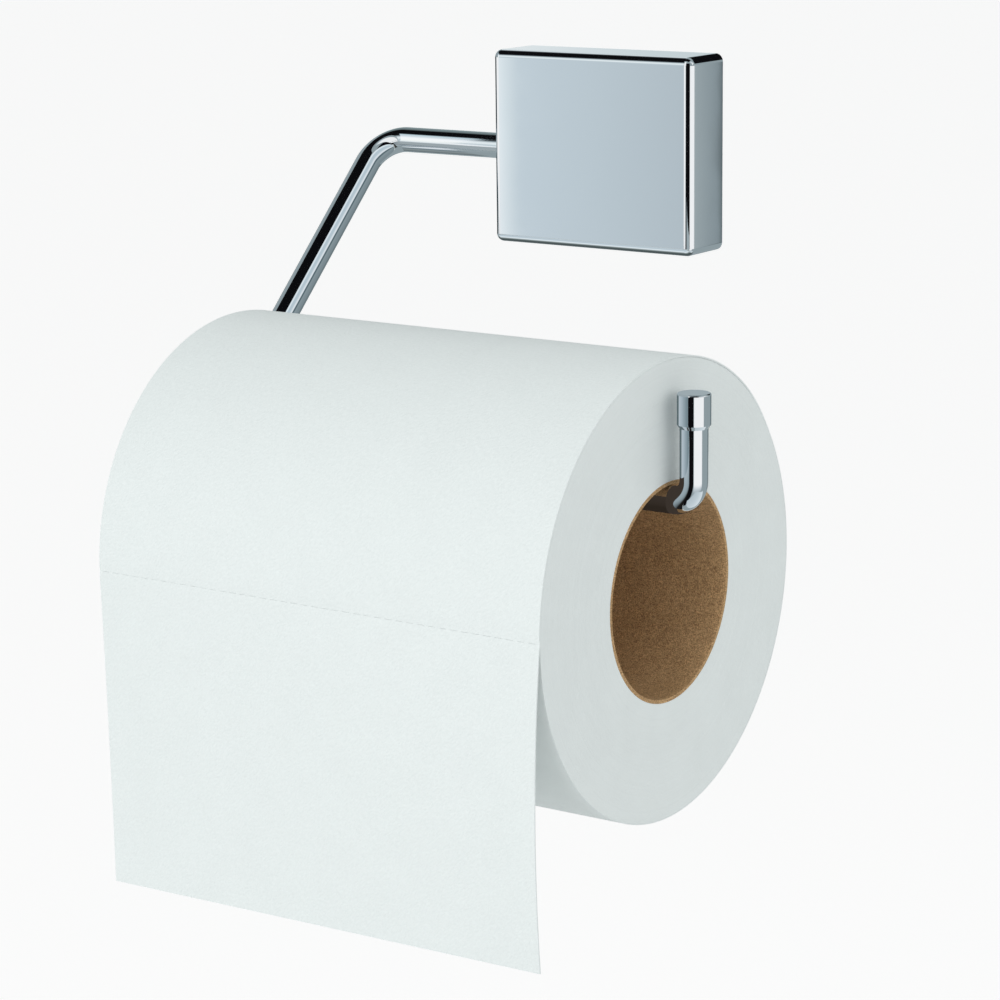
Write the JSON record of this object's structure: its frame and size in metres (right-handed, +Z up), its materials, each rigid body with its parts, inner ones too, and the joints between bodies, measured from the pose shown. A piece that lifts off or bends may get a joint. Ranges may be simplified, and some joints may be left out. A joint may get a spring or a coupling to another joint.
{
  "type": "toilet paper holder",
  "caption": "Wall-mounted toilet paper holder: a bent chrome bar with a capped, upturned tip, held in a small rectangular cover over a hidden wall plate, with a hanging roll.",
  "frame": {"origin": "on the wall plane, at the centre of the back of the cover and of the wall plate", "axes": "+X along the wall to the holder's open end, +Z up, -Y out of the wall into the room"},
  "size_m": [0.1167, 0.133, 0.1531],
  "materials": {
    "chrome_plate": "polished",
    "zinc_steel": "satin",
    "nylon": "matte",
    "kraft_board": "matte",
    "wound_tissue": "matte",
    "tissue_sheet": "matte"
  },
  "bodies": {
    "holder": {"cover": "chrome_plate", "wall_plate": "zinc_steel", "wall_screw_upper": "zinc_steel", "wall_screw_lower": "zinc_steel", "wall_plug_upper": "nylon", "wall_plug_lower": "nylon", "cover_grub_screw": "zinc_steel", "arm_rod": "chrome_plate", "arm_set_screw_left": "zinc_steel", "arm_set_screw_right": "zinc_steel", "end_cap": "chrome_plate"},
    "paper_web": {"top_sheet": "tissue_sheet"},
    "roll": {"core_inner_ply": "kraft_board", "core_outer_ply": "kraft_board", "wound_paper": "wound_tissue"},
    "paper_end": {"tail_sheet": "tissue_sheet"}
  },
  "joints": [
    {"name": "roll_lift", "type": "slide", "parent": "holder", "child": "paper_web", "axis": [0, 0, 1], "range_m": [0, 0.034]},
    {"name": "roll_spin", "type": "hinge", "parent": "paper_web", "child": "roll", "pos_m": [0, -0.0631, -0.0726], "axis": [1, 0, 0], "continuous": true},
    {"name": "tail_swing", "type": "hinge", "parent": "paper_web", "child": "paper_end", "pos_m": [0, -0.1065, -0.0726], "axis": [-1, 0, 0], "range_deg": [0, 80]}
  ]
}
